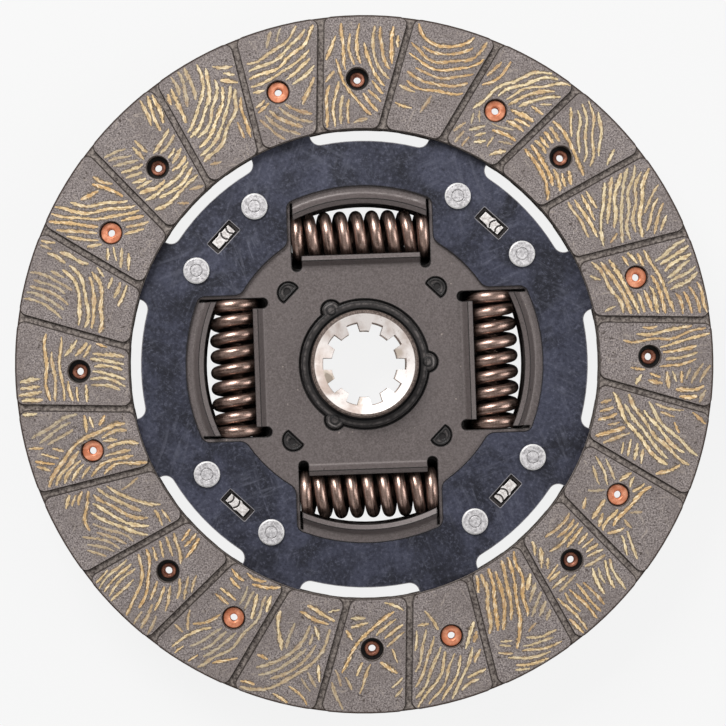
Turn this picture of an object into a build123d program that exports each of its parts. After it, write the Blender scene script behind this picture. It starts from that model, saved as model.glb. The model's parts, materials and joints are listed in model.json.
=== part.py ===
from build123d import *
import os
from math import asin, cos, degrees, pi, radians, sin, tan

# Friction facings: two like rings, back to back on the carrier plate's paddles
facing_width = 39.0
facing_bore_gap = 7.0
facing_thickness = 3.5
pad_count = 24
pad_corner_radius = 2.7
groove_width = 2.2
groove_depth = 1.0
groove_offset = 16.5
groove_direction = -0.7

# Tubular facing rivets, two to a paddle: one holds the front facing, one the rear
facing_rivet_inset = 17.1
own_rivet_angle = 17.7
other_rivet_angle = 1.5
head_pocket_radius = 3.95
tail_pocket_radius = 3.9
pocket_floor = 1.2
facing_rivet_head_radius = 3.6
facing_rivet_head_height = 0.9
facing_rivet_shank_radius = 1.95
facing_rivet_bore_radius = 1.25
facing_rivet_mouth_radius = 1.75
facing_rivet_mouth_depth = 0.4
facing_rivet_tail_radius = 2.6
facing_rivet_tail_height = 0.7

# Carrier plate: blued spring steel with eight paddles, folded to cushion the facings
carrier_thickness = 1.0
cushion_travel = 0.5
paddle_count = 8
paddle_direction = 21.3
paddle_start_angle = -25.5
paddle_end_angle = 17.5
paddle_inner_inset = 3.0
paddle_outer_inset = 1.0
paddle_corner_radius = 3.0
fold_run = 6.0
front_zone_start = -16.0
front_zone_end = 12.0
scallop_reach = 3.9
scallop_direction = -1.2
scallop_width_angle = 29.5
scallop_corner_radius = 3.4
carrier_bore_radius = 48.7
carrier_window_end_gap = 1.0
carrier_window_rim = 3.6
carrier_window_corner = 3.0
carrier_bore_corner = 4.0

# Damper springs and the windows they sit in
window_count = 4
window_direction = 2.0
window_half_length = 24.0
spring_radius = 9.1
spring_wire_radius = 2.1
spring_active_turns = 7
spring_end_turn_gap = 0.25
spring_end_clearance = 0.1
coil_steps = 12
wire_sides = 8

# Damper plates, in front of the hub flange and behind it
plate_thickness = 2.2
front_plate_rim = 8.5
rear_plate_rim = 6.5
flange_gap = 2.3
lip_slope = 56.0
rear_inner_lip_slope = 40.0
rear_inner_lip_reach = 5.5
lip_bend_radius = 1.0
inner_lip_play = -0.1
inner_lip_reach = 2.5
window_notch_width = 3.5
outer_lip_play = 4.3
outer_lip_reach = 2.6
outer_lip_end_gap = 0.8
outer_lip_sweep = 70.0
lip_strip = 2.0
window_notch_depth = 2.8

# Hub: splined tube and flange in one piece
hub_wall = 4.1
hub_front_reach = 6.0
hub_rear_reach = 21.0
hub_edge_chamfer = 0.6
spline_tooth_count = 10
spline_minor_radius = 11.5
spline_depth = 3.0
spline_slot_width = 4.0
spline_direction = 72.0
spline_mouth_wall = 1.4
spline_mouth_depth = 3.0
flange_thickness = 5.0
flange_rim = 4.5
flange_window_side_gap = 1.7
flange_window_corner = 2.0
twist_limit = 6.0
stop_clearance_angle = 0.3

# Stop plates: flat bars that tie the damper plates together and limit the twist
stop_count = 4
stop_direction = 48.0
stop_window_gap = 4.0
stop_width = 11.0
stop_thickness = 4.4
stop_radial_gap = 0.8
tenon_width = 8.2
tenon_thickness = 3.2
tenon_play = 0.45
tenon_stand = 0.75
tenon_bulge_reach = 1.95
tenon_bulge_half_width = 1.5
tenon_mark_radius = 2.2
tenon_mark_width = 0.6
tenon_mark_reach = 1.2
tenon_mark_depth = 0.45
tenon_mark_spacing = 2.6
stop_slot_length = 11.2
stop_slot_width = 5.1
stop_slot_corner = 0.4
tenon_slot_corner = 1.2

# Plate rivets: they hold the carrier plate on the front damper plate
plate_rivet_outset = 0.8
plate_rivet_half_angle = 13.0
plate_rivet_head_radius = 4.5
plate_rivet_head_height = 1.3
plate_rivet_shank_radius = 2.6
plate_rivet_tail_radius = 3.9
plate_rivet_tail_height = 1.1
plate_rivet_ring_radius = 2.05
plate_rivet_ring_width = 0.35
plate_rivet_ring_depth = 0.25
rivet_fit = 0.05

# Bushes, friction ring, friction washer and disc spring round the hub
bush_running_clearance = 0.05
bush_wall = 3.4
bush_lobe_count = 3
bush_lobe_direction = 2.0
bush_lobe_radius = 3.15
bush_lobe_inset = 0.2
bush_lobe_pip_radius = 1.5
bush_outline_gap = 0.6
bush_collar_width = 3.6
bush_stand = 0.3
bush_edge_chamfer = 0.4
bush_mouth_gap = 0.8
bush_mouth_depth = 1.6
rear_bush_wall = 3.0
rub_gap = 0.1
friction_ring_collar_gap = 1.0
friction_ring_width = 7.0
friction_ring_spring_gap = 1.8
ring_ear_radius = 5.0
peg_count = 4
peg_direction = 47.0
peg_outset = 2.4
peg_hole_radius = 3.9
peg_flat = 1.4
peg_fit = 0.5
peg_recess = 0.35
peg_rim = 0.6
peg_rim_depth = 0.3
peg_dimple_radius = 1.2
peg_dimple_depth = 0.8
washer_thickness = 0.8
disc_spring_thickness = 0.6
disc_spring_bore_gap = 0.2
disc_spring_rim_gap = 0.6
cut_overrun = 1.0

# Radii, from the hub outwards
spline_major_radius = spline_minor_radius + spline_depth
hub_radius = spline_major_radius + hub_wall
spline_mouth_radius = hub_radius - spline_mouth_wall
bush_radius = hub_radius + bush_wall
bush_lobe_circle_radius = bush_radius - bush_lobe_inset
rear_bush_radius = hub_radius + rear_bush_wall
bush_collar_radius = bush_radius + bush_collar_width
friction_ring_inner_radius = bush_collar_radius + friction_ring_collar_gap
friction_ring_radius = friction_ring_inner_radius + friction_ring_width
peg_circle_radius = friction_ring_radius + peg_outset
spring_axis_radius = friction_ring_radius + friction_ring_spring_gap + spring_radius
disc_spring_inner_radius = friction_ring_inner_radius + disc_spring_bore_gap
disc_spring_radius = friction_ring_radius - disc_spring_rim_gap
inner_lip_root = spring_axis_radius - spring_radius - inner_lip_play
outer_lip_root = spring_axis_radius + spring_radius + outer_lip_play
carrier_window_radius = outer_lip_root + carrier_window_rim
stop_circle_radius = carrier_window_radius + stop_window_gap
plate_rivet_circle_radius = stop_circle_radius + plate_rivet_outset
flange_radius = stop_circle_radius + flange_rim
rear_plate_radius = stop_circle_radius + rear_plate_rim
front_plate_radius = stop_circle_radius + front_plate_rim
facing_bore_radius = front_plate_radius + facing_bore_gap
facing_radius = facing_bore_radius + facing_width
facing_rivet_circle_radius = facing_bore_radius + facing_rivet_inset
scallop_floor_radius = facing_bore_radius - scallop_reach
paddle_inner_radius = facing_bore_radius + paddle_inner_inset
paddle_outer_radius = facing_radius - paddle_outer_inset

# Half lengths of the spring windows and their lips
inner_lip_half_length = window_half_length - window_notch_width
outer_lip_half_length = window_half_length - outer_lip_end_gap
rear_lip_half_length = window_half_length - spring_end_clearance
carrier_window_half_length = window_half_length + carrier_window_end_gap

# Levels: z = 0 is midway between the friction faces, +Z is the flywheel side
front_seat_z = carrier_thickness / 2 + cushion_travel / 2
friction_face_z = front_seat_z + facing_thickness
carrier_back_z = front_seat_z - carrier_thickness
plate_back_z = carrier_back_z - plate_thickness
flange_front_z = plate_back_z - flange_gap
flange_back_z = flange_front_z - flange_thickness
spring_axis_z = (flange_front_z + flange_back_z) / 2
rear_plate_front_z = flange_back_z - flange_gap
rear_plate_back_z = rear_plate_front_z - plate_thickness

window_angles = [window_direction + k * 360 / window_count for k in range(window_count)]
stop_angles = [stop_direction + k * 360 / stop_count for k in range(stop_count)]
plate_rivet_angles = [a + s * plate_rivet_half_angle for a in stop_angles for s in (-1, 1)]
facing_flip_axis_angle = radians((own_rivet_angle + other_rivet_angle) / 2)
facing_flip_axis = Axis((0, 0, 0), (cos(facing_flip_axis_angle), sin(facing_flip_axis_angle), 0))

pieces = {}


def on_circle(radius, angle):
    """The point at this radius and angle, seen from +Z."""
    return (radius * cos(radians(angle)), radius * sin(radians(angle)))


def from_axis(vertex):
    """A vertex's distance from the hub's axis, to the nearest millimetre."""
    return round(Vector(vertex.X, vertex.Y).length)


def keep(name, builder):
    """Label a finished piece and note it for export."""
    builder.part.label = name
    pieces[name] = builder.part


def wedge(radius, start_angle, end_angle):
    """A triangle from the axis, wide enough to take in an arc of this radius."""
    reach = radius / cos(radians(end_angle - start_angle) / 2) + cut_overrun
    Polygon((0, 0), on_circle(reach, start_angle), on_circle(reach, end_angle), align=None)


# The front facing: a backing ring with the pads between its grooves standing on it
pad_base_z = friction_face_z - groove_depth
with BuildPart() as front_facing:
    with BuildSketch(Plane.XY.offset(front_seat_z)):
        Circle(facing_radius)
        Circle(facing_bore_radius, mode=Mode.SUBTRACT)
    extrude(amount=facing_thickness - groove_depth)
    with BuildSketch(Plane.XY.offset(pad_base_z)) as pads:
        Circle(facing_radius)
        Circle(facing_bore_radius, mode=Mode.SUBTRACT)
        with PolarLocations(0, pad_count, start_angle=groove_direction):
            with Locations((facing_radius, groove_offset)):
                groove_length = 2 * (facing_radius - facing_bore_radius) + groove_offset
                Rectangle(groove_length, groove_width, mode=Mode.SUBTRACT)
        fillet(pads.vertices(), pad_corner_radius)
    extrude(amount=groove_depth)
    with BuildSketch(Plane.XY.offset(front_seat_z + pocket_floor)):
        with PolarLocations(facing_rivet_circle_radius, paddle_count, start_angle=own_rivet_angle):
            Circle(head_pocket_radius)
    extrude(amount=facing_thickness, mode=Mode.SUBTRACT)
    with BuildSketch(Plane.XY.offset(front_seat_z)):
        with PolarLocations(facing_rivet_circle_radius, paddle_count, start_angle=own_rivet_angle):
            Circle(facing_rivet_shank_radius + rivet_fit)
        with PolarLocations(facing_rivet_circle_radius, paddle_count, start_angle=other_rivet_angle):
            Circle(tail_pocket_radius)
    extrude(amount=facing_thickness, mode=Mode.SUBTRACT)
keep("front_facing", front_facing)

# The rear facing is the same piece, turned over so that its rivets fall in the other holes
with BuildPart() as rear_facing:
    add(front_facing.part.rotate(facing_flip_axis, 180))
keep("rear_facing", rear_facing)

# One tubular rivet, head in its pocket and tail rolled over behind the paddle, flared at both ends
head_top_z = front_seat_z + pocket_floor + facing_rivet_head_height
tail_end_z = carrier_back_z - facing_rivet_tail_height
with BuildPart() as facing_rivet:
    with BuildSketch(Plane.XY.offset(front_seat_z + pocket_floor)) as rivet_head:
        Circle(facing_rivet_head_radius)
    extrude(amount=facing_rivet_head_height)
    chamfer(facing_rivet.edges().sort_by(Axis.Z)[-1], facing_rivet_head_height / 4)
    with BuildSketch(Plane.XY.offset(carrier_back_z)):
        Circle(facing_rivet_shank_radius)
    extrude(amount=front_seat_z + pocket_floor - carrier_back_z)
    with BuildSketch(Plane.XY.offset(carrier_back_z)):
        Circle(facing_rivet_tail_radius)
    extrude(amount=-facing_rivet_tail_height)
    chamfer(facing_rivet.edges().sort_by(Axis.Z)[0], facing_rivet_tail_height / 3)
    Hole(facing_rivet_bore_radius)
    for rivet_end, end_z in ((1, head_top_z), (-1, tail_end_z)):
        with Locations((0, 0, end_z - rivet_end * facing_rivet_mouth_depth / 2)):
            with Locations(Rotation(90 - 90 * rivet_end, 0, 0)):
                Cone(
                    facing_rivet_bore_radius,
                    facing_rivet_mouth_radius,
                    facing_rivet_mouth_depth,
                    mode=Mode.SUBTRACT,
                )

with BuildPart() as front_facing_rivets:
    with PolarLocations(facing_rivet_circle_radius, paddle_count, start_angle=own_rivet_angle):
        add(facing_rivet.part)
keep("front_facing_rivets", front_facing_rivets)

with BuildPart() as rear_facing_rivets:
    add(front_facing_rivets.part.rotate(facing_flip_axis, 180))
keep("rear_facing_rivets", rear_facing_rivets)

# One paddle, pointing along +X: flat under the front rivet and folded back each side of it
with BuildPart() as paddle:
    with BuildSketch(Plane.YZ.offset(paddle_inner_radius / 2)):
        with BuildLine():
            top = front_seat_z
            low = front_seat_z - cushion_travel
            reach = paddle_outer_radius
            fold = [(-reach, low), (front_zone_start - fold_run, low), (front_zone_start, top)]
            fold += [(front_zone_end, top), (front_zone_end + fold_run, low), (reach, low)]
            under = [(along, level - carrier_thickness) for along, level in reversed(fold)]
            Polyline(*fold, *under, close=True)
        make_face()
    extrude(amount=paddle_outer_radius)
    with BuildSketch(Plane.XY.offset(-carrier_thickness - cushion_travel)) as fan:
        Circle(paddle_outer_radius)
        Circle(paddle_inner_radius, mode=Mode.SUBTRACT)
        with BuildSketch(mode=Mode.INTERSECT):
            wedge(paddle_outer_radius, paddle_start_angle, paddle_end_angle)
        fillet(fan.vertices(), paddle_corner_radius)
    extrude(amount=2 * (carrier_thickness + cushion_travel), mode=Mode.INTERSECT)

# The carrier plate: scalloped rim, necks to the paddles, and an opening over the damper
with BuildPart() as carrier_plate:
    with BuildSketch(Plane.XY.offset(carrier_back_z)) as carrier_outline:
        Circle(paddle_inner_radius + paddle_corner_radius)
        with BuildSketch(mode=Mode.SUBTRACT) as scallops:
            Circle(paddle_inner_radius + 2 * paddle_corner_radius)
            Circle(scallop_floor_radius, mode=Mode.SUBTRACT)
            with BuildSketch(mode=Mode.INTERSECT):
                with PolarLocations(0, paddle_count, start_angle=scallop_direction):
                    wedge(paddle_outer_radius, -scallop_width_angle / 2, scallop_width_angle / 2)
            fillet(scallops.vertices().group_by(from_axis)[0], scallop_corner_radius)
    extrude(amount=carrier_thickness)
    with PolarLocations(0, paddle_count, start_angle=paddle_direction):
        add(paddle.part)
    with BuildSketch(Plane.XY.offset(carrier_back_z)) as carrier_opening:
        Circle(carrier_window_radius)
        with BuildSketch(mode=Mode.INTERSECT) as cross:
            with PolarLocations(0, window_count, start_angle=window_direction):
                arm = (carrier_window_radius + cut_overrun, 2 * carrier_window_half_length)
                Rectangle(*arm, align=(Align.MIN, Align.CENTER))
        fillet(carrier_opening.vertices().group_by(from_axis)[-1], carrier_window_corner)
        Circle(carrier_bore_radius)
        fillet(carrier_opening.vertices().group_by(from_axis)[0], carrier_bore_corner)
    extrude(amount=carrier_thickness, mode=Mode.SUBTRACT)
    with BuildSketch(Plane.XY.offset(carrier_back_z)):
        with PolarLocations(stop_circle_radius, stop_count, start_angle=stop_direction):
            RectangleRounded(stop_slot_width, stop_slot_length, stop_slot_corner)
        with Locations(*[on_circle(plate_rivet_circle_radius, a) for a in plate_rivet_angles]):
            Circle(plate_rivet_shank_radius + rivet_fit)
    extrude(amount=carrier_thickness, mode=Mode.SUBTRACT)
    with BuildSketch(Plane.XY.offset(carrier_back_z - cushion_travel)):
        for rivet_angle in (own_rivet_angle, other_rivet_angle):
            with PolarLocations(facing_rivet_circle_radius, paddle_count, start_angle=rivet_angle):
                Circle(facing_rivet_shank_radius + rivet_fit)
    extrude(amount=carrier_thickness + cushion_travel, mode=Mode.SUBTRACT)
keep("carrier_plate", carrier_plate)


def lip_points(root, reach, toward, slope_angle):
    """Corners of a lip's section, as radius and height; toward is +1 if it leans outward."""
    slope = radians(slope_angle)
    tip = (root + toward * reach, plate_back_z + reach * tan(slope))
    tip_back = (tip[0] - toward * plate_thickness * sin(slope), tip[1] + plate_thickness * cos(slope))
    foot = (tip_back[0] - toward * (tip_back[1] - carrier_back_z) / tan(slope), carrier_back_z)
    start = root - toward * (lip_strip + plate_thickness / 2)
    return [foot, (root, plate_back_z), tip, tip_back, (start, carrier_back_z), (start, plate_back_z)]


def bend(section, foot, spring_side):
    """Round both sides of a lip's bend, as a pressed sheet is rounded."""
    outside_radius = lip_bend_radius + plate_thickness / 2
    fillet(section.vertices().sort_by_distance(Vector(*foot))[0], lip_bend_radius)
    fillet(section.vertices().sort_by_distance(Vector(*spring_side))[0], outside_radius)


def inner_lip_blank(reach, half_length, slope_angle):
    """A straight lip for the inner side of a window, as a part."""
    foot, spring_side, tip, tip_back, start_front, start_back = lip_points(
        inner_lip_root, reach, 1, slope_angle
    )
    with BuildPart() as lip:
        with BuildSketch(Plane.XZ) as section:
            with BuildLine():
                Polyline(start_back, spring_side, tip, tip_back, foot, start_front, close=True)
            make_face()
            bend(section, foot, spring_side)
        extrude(amount=half_length, both=True)
    return lip.part


# The lips of one window, which keep its spring in: a straight one inside, a curved one outside
outer_strip_radius = outer_lip_root + lip_strip + plate_thickness / 2
inner_lip = inner_lip_blank(inner_lip_reach, inner_lip_half_length, lip_slope)
rear_inner_lip = inner_lip_blank(rear_inner_lip_reach, rear_lip_half_length, rear_inner_lip_slope)
with BuildPart() as outer_lip_arc:
    lip_corners = lip_points(outer_lip_root, outer_lip_reach, -1, lip_slope)
    foot, spring_side, tip, tip_back, start_front, start_back = lip_corners
    with BuildSketch(Plane.XZ) as outer_section:
        with BuildLine():
            Polyline(start_back, spring_side, tip, tip_back, foot, start_front, close=True)
        make_face()
        bend(outer_section, foot, spring_side)
    revolve(axis=Axis.Z, revolution_arc=outer_lip_sweep)


def outer_lip_blank(half_length):
    """The lip at a window's rim: a strip round the disc's axis, cut off square at both ends."""
    with BuildPart() as outer_lip:
        add(outer_lip_arc.part.rotate(Axis.Z, -outer_lip_sweep / 2))
        with BuildSketch(Plane.XY.offset(plate_back_z)):
            Rectangle(4 * outer_lip_root, 2 * half_length)
        extrude(amount=4 * plate_thickness, mode=Mode.INTERSECT)
    return outer_lip.part


outer_lip = outer_lip_blank(outer_lip_half_length)
rear_outer_lip = outer_lip_blank(rear_lip_half_length)

# The windows' outlines: the front one has a round-bottomed notch at each end of its inner lip
notch_radius_place = inner_lip_root - window_notch_depth + window_notch_width / 2
notch_side_place = inner_lip_half_length + window_notch_width / 2
rear_window_start = inner_lip_root - lip_strip
with BuildSketch() as front_window:
    Circle(outer_strip_radius)
    with BuildSketch(mode=Mode.INTERSECT):
        with Locations((notch_radius_place, 0)):
            Rectangle(outer_strip_radius, 2 * window_half_length, align=(Align.MIN, Align.CENTER))
    with Locations((notch_radius_place, notch_side_place), (notch_radius_place, -notch_side_place)):
        Circle(window_notch_width / 2)
with BuildSketch() as rear_window:
    Circle(outer_strip_radius)
    with BuildSketch(mode=Mode.INTERSECT):
        with Locations((rear_window_start, 0)):
            Rectangle(outer_strip_radius, 2 * window_half_length, align=(Align.MIN, Align.CENTER))


def pressed_plate(radius, window, inner_lip_part, outer_lip_part):
    """A damper plate with its four windows and their lips, and the slots for the stops, as a part."""
    with BuildPart() as plate:
        with BuildSketch(Plane.XY.offset(plate_back_z)):
            Circle(radius)
        extrude(amount=plate_thickness)
        with BuildSketch(Plane.XY.offset(plate_back_z)):
            with PolarLocations(0, window_count, start_angle=window_direction):
                add(window.sketch)
        extrude(amount=plate_thickness, mode=Mode.SUBTRACT)
        with PolarLocations(0, window_count, start_angle=window_direction):
            add(inner_lip_part)
            add(outer_lip_part)
        with BuildSketch(Plane.XY.offset(plate_back_z)):
            with PolarLocations(stop_circle_radius, stop_count, start_angle=stop_direction):
                tenon_slot = (tenon_thickness + 2 * tenon_play, tenon_width + 2 * tenon_play)
                RectangleRounded(*tenon_slot, tenon_slot_corner)
        extrude(amount=plate_thickness, mode=Mode.SUBTRACT)
    return plate.part


def bush_outline(gap):
    """Draw the front bush's outline, grown by a gap: a circle with three lobes."""
    Circle(bush_radius + gap)
    with PolarLocations(bush_lobe_circle_radius, bush_lobe_count, start_angle=bush_lobe_direction):
        Circle(bush_lobe_radius + gap)


def peg_outline(gap):
    """Draw one D-shaped peg outline on its circle, shrunk by a gap, flat side towards the hub."""
    with PolarLocations(peg_circle_radius, peg_count, start_angle=peg_direction):
        with BuildSketch(mode=Mode.PRIVATE) as peg:
            Circle(peg_hole_radius - gap)
            with Locations((gap - peg_flat, 0)):
                width = 2 * peg_hole_radius
                Rectangle(width, width, align=(Align.MIN, Align.CENTER), mode=Mode.INTERSECT)
        add(peg.sketch)


# The front damper plate also holds the carrier's rivets, the bush and the friction ring's pegs
with BuildPart() as front_damper_plate:
    add(pressed_plate(front_plate_radius, front_window, inner_lip, outer_lip))
    with BuildSketch(Plane.XY.offset(plate_back_z)):
        bush_outline(bush_outline_gap)
        peg_outline(0)
        with Locations(*[on_circle(plate_rivet_circle_radius, a) for a in plate_rivet_angles]):
            Circle(plate_rivet_shank_radius + rivet_fit)
    extrude(amount=plate_thickness, mode=Mode.SUBTRACT)
keep("front_damper_plate", front_damper_plate)

# The rear damper plate faces it across the springs' plane, with longer inner lips and a plain bore
with BuildPart() as rear_damper_plate:
    rear_blank = pressed_plate(rear_plate_radius, rear_window, rear_inner_lip, rear_outer_lip)
    add(mirror(rear_blank, about=Plane.XY.offset(spring_axis_z), mode=Mode.PRIVATE))
    with BuildSketch(Plane.XY.offset(rear_plate_front_z)):
        Circle(rear_bush_radius + bush_outline_gap)
    extrude(amount=-plate_thickness, mode=Mode.SUBTRACT)
keep("rear_damper_plate", rear_damper_plate)

# The hub: tube and flange, four spring windows, notches that the stop plates move in
stop_corner_radius = Vector(stop_circle_radius - stop_thickness / 2, stop_width / 2).length
notch_half_angle = degrees(asin(stop_width / 2 / stop_corner_radius)) + twist_limit + stop_clearance_angle
notch_radius = stop_circle_radius - stop_thickness / 2 - stop_radial_gap
hub_length = hub_rear_reach + hub_front_reach
with BuildPart() as hub:
    with BuildSketch(Plane.XY.offset(-hub_rear_reach)):
        Circle(hub_radius)
    extrude(amount=hub_length)
    chamfer([hub.edges().sort_by(Axis.Z)[0], hub.edges().sort_by(Axis.Z)[-1]], hub_edge_chamfer)
    with BuildSketch(Plane.XY.offset(flange_back_z)):
        Circle(flange_radius)
        with BuildSketch(mode=Mode.SUBTRACT):
            with PolarLocations(0, stop_count, start_angle=stop_direction):
                wedge(flange_radius, -notch_half_angle, notch_half_angle)
            Circle(notch_radius, mode=Mode.SUBTRACT)
        with PolarLocations(spring_axis_radius, window_count, start_angle=window_direction):
            flange_window_width = 2 * (spring_radius + flange_window_side_gap)
            RectangleRounded(
                flange_window_width, 2 * window_half_length, flange_window_corner, mode=Mode.SUBTRACT
            )
    extrude(amount=flange_thickness)
    with BuildSketch(Plane.XY.offset(-hub_rear_reach)):
        with PolarLocations(0, spline_tooth_count, start_angle=spline_direction):
            Rectangle(spline_major_radius + cut_overrun, spline_slot_width, align=(Align.MIN, Align.CENTER))
        Circle(spline_major_radius, mode=Mode.INTERSECT)
        Circle(spline_minor_radius)
    extrude(amount=hub_length, mode=Mode.SUBTRACT)
    with BuildSketch(Plane.XZ):
        with BuildLine():
            Polyline(
                (0, hub_front_reach),
                (spline_mouth_radius, hub_front_reach),
                (spline_minor_radius, hub_front_reach - spline_mouth_depth),
                (spline_minor_radius, spline_mouth_depth - hub_rear_reach),
                (spline_mouth_radius, -hub_rear_reach),
                (0, -hub_rear_reach),
                close=True,
            )
        make_face()
    revolve(axis=Axis.Z, mode=Mode.SUBTRACT)
keep("hub", hub)

# A stop plate at angle 0: shoulders between the damper plates, a staked tenon through each
with BuildSketch() as stake_mark:
    with Locations((0, tenon_mark_reach / 2 - tenon_mark_radius)):
        Circle(tenon_mark_radius)
        Circle(tenon_mark_radius - tenon_mark_width, mode=Mode.SUBTRACT)
    Rectangle(2 * tenon_mark_radius, tenon_mark_reach, mode=Mode.INTERSECT)
with BuildPart() as stop_blank:
    with BuildSketch(Plane.XY.offset(rear_plate_front_z)):
        with Locations((stop_circle_radius, 0)):
            Rectangle(stop_thickness, stop_width)
    extrude(amount=plate_back_z - rear_plate_front_z)
    with BuildSketch(Plane.XY.offset(rear_plate_back_z - tenon_stand)):
        with Locations((stop_circle_radius, 0)):
            Rectangle(tenon_thickness, tenon_width)
    extrude(amount=carrier_back_z - rear_plate_back_z + 2 * tenon_stand)
    for face_z, outward in ((carrier_back_z, 1), (rear_plate_back_z, -1)):
        with BuildSketch(Plane.XY.offset(face_z)):
            with Locations((stop_circle_radius, 0)):
                Ellipse(tenon_bulge_reach, tenon_bulge_half_width)
        extrude(amount=outward * tenon_stand)
        with BuildSketch(Plane.XY.offset(face_z + outward * tenon_stand)):
            with Locations((stop_circle_radius, 0), (stop_circle_radius, -tenon_mark_spacing)):
                add(stake_mark.sketch)
        extrude(amount=-outward * tenon_mark_depth, mode=Mode.SUBTRACT)
for number, angle in enumerate(stop_angles, start=1):
    with BuildPart() as stop_plate:
        add(stop_blank.part.rotate(Axis.Z, angle))
    keep(f"stop_plate_{number}", stop_plate)

# One plate rivet, at the axis: a low head with a punched ring, and a set tail in the flange gap
with BuildPart() as plate_rivet:
    with BuildSketch(Plane.XY.offset(front_seat_z)):
        Circle(plate_rivet_head_radius)
    extrude(amount=plate_rivet_head_height)
    chamfer(plate_rivet.edges().sort_by(Axis.Z)[-1], plate_rivet_head_height / 3)
    with BuildSketch(Plane.XY.offset(plate_back_z)):
        Circle(plate_rivet_shank_radius)
    extrude(amount=front_seat_z - plate_back_z)
    with BuildSketch(Plane.XY.offset(plate_back_z)):
        Circle(plate_rivet_tail_radius)
    extrude(amount=-plate_rivet_tail_height)
    chamfer(plate_rivet.edges().sort_by(Axis.Z)[0], plate_rivet_tail_height / 3)
    with BuildSketch(Plane.XY.offset(front_seat_z + plate_rivet_head_height)):
        Circle(plate_rivet_ring_radius + plate_rivet_ring_width / 2)
        Circle(plate_rivet_ring_radius - plate_rivet_ring_width / 2, mode=Mode.SUBTRACT)
    extrude(amount=-plate_rivet_ring_depth, mode=Mode.SUBTRACT)
with BuildPart() as plate_rivets:
    with Locations(*[on_circle(plate_rivet_circle_radius, a) for a in plate_rivet_angles]):
        add(plate_rivet.part)
keep("plate_rivets", plate_rivets)

# The guide bush: a lobed nose in the front damper plate, a collar behind it, running on the hub
with BuildPart() as guide_bush:
    with BuildSketch(Plane.XY.offset(plate_back_z)):
        bush_outline(0)
    extrude(amount=plate_thickness + bush_stand)
    chamfer(guide_bush.faces().sort_by(Axis.Z)[-1].edges(), bush_edge_chamfer)
    with BuildSketch(Plane.XY.offset(carrier_back_z + bush_stand)):
        with PolarLocations(bush_lobe_circle_radius, bush_lobe_count, start_angle=bush_lobe_direction):
            Circle(bush_lobe_pip_radius)
    extrude(amount=bush_stand)
    with BuildSketch(Plane.XY.offset(flange_front_z + rub_gap)):
        Circle(bush_collar_radius)
    extrude(amount=flange_gap - rub_gap)
    Hole(hub_radius + bush_running_clearance)
    with BuildSketch(Plane.XY.offset(carrier_back_z + bush_stand)):
        Circle(hub_radius + bush_mouth_gap)
    extrude(amount=-bush_mouth_depth, mode=Mode.SUBTRACT)
keep("guide_bush", guide_bush)

# The rear bush does the same in the rear damper plate
with BuildPart() as rear_bush:
    with BuildSketch(Plane.XY.offset(rear_plate_back_z - bush_stand)):
        Circle(rear_bush_radius)
    extrude(amount=plate_thickness + bush_stand)
    with BuildSketch(Plane.XY.offset(rear_plate_front_z)):
        Circle(bush_collar_radius)
    extrude(amount=flange_gap - rub_gap)
    Hole(hub_radius + bush_running_clearance)
keep("rear_bush", rear_bush)

# The friction ring rubs on the flange and is keyed to the front damper plate by its pegs
with BuildPart() as friction_ring:
    with BuildSketch(Plane.XY.offset(flange_front_z + rub_gap)):
        Circle(friction_ring_radius)
        with PolarLocations(peg_circle_radius, peg_count, start_angle=peg_direction):
            Circle(ring_ear_radius)
        Circle(friction_ring_inner_radius, mode=Mode.SUBTRACT)
    extrude(amount=flange_gap - rub_gap)
    with BuildSketch(Plane.XY.offset(plate_back_z)):
        peg_outline(peg_fit)
    extrude(amount=plate_thickness - peg_recess)
    with BuildSketch(Plane.XY.offset(carrier_back_z - peg_recess)):
        peg_outline(peg_fit + peg_rim)
    extrude(amount=-peg_rim_depth, mode=Mode.SUBTRACT)
    with BuildSketch(Plane.XY.offset(carrier_back_z - peg_recess)):
        with PolarLocations(peg_circle_radius + peg_flat / 2, peg_count, start_angle=peg_direction):
            Circle(peg_dimple_radius)
    extrude(amount=-peg_dimple_depth, mode=Mode.SUBTRACT)
keep("friction_ring", friction_ring)

# Behind the flange: a flat friction washer, pressed on by a coned disc spring
washer_back_z = flange_back_z - rub_gap - washer_thickness
with BuildPart() as rear_friction_washer:
    with BuildSketch(Plane.XY.offset(washer_back_z)):
        Circle(friction_ring_radius)
        Circle(friction_ring_inner_radius, mode=Mode.SUBTRACT)
    extrude(amount=washer_thickness)
keep("rear_friction_washer", rear_friction_washer)

with BuildPart() as disc_spring:
    with BuildSketch(Plane.XZ):
        with BuildLine():
            Polyline(
                (disc_spring_inner_radius, washer_back_z),
                (disc_spring_radius, rear_plate_front_z + disc_spring_thickness),
                (disc_spring_radius, rear_plate_front_z),
                (disc_spring_inner_radius, washer_back_z - disc_spring_thickness),
                close=True,
            )
        make_face()
    revolve(axis=Axis.Z)
keep("disc_spring", disc_spring)

# A damper spring along +Y, right-handed, with closed ends at the back, ground flat on the windows
spring_length = 2 * (window_half_length - spring_end_clearance)
coil_radius = spring_radius - spring_wire_radius
end_turn_rise = 2 * spring_wire_radius + spring_end_turn_gap
active_turn_rise = (spring_length - 2 * end_turn_rise) / spring_active_turns


def coil_rise(turn):
    """How far along the spring the wire has gone after this many turns; the first and last are closed."""
    active_turn = min(max(turn - 1, 0), spring_active_turns)
    end_turn = min(turn, 1) + max(turn - 1 - spring_active_turns, 0)
    return end_turn * end_turn_rise + active_turn * active_turn_rise


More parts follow.
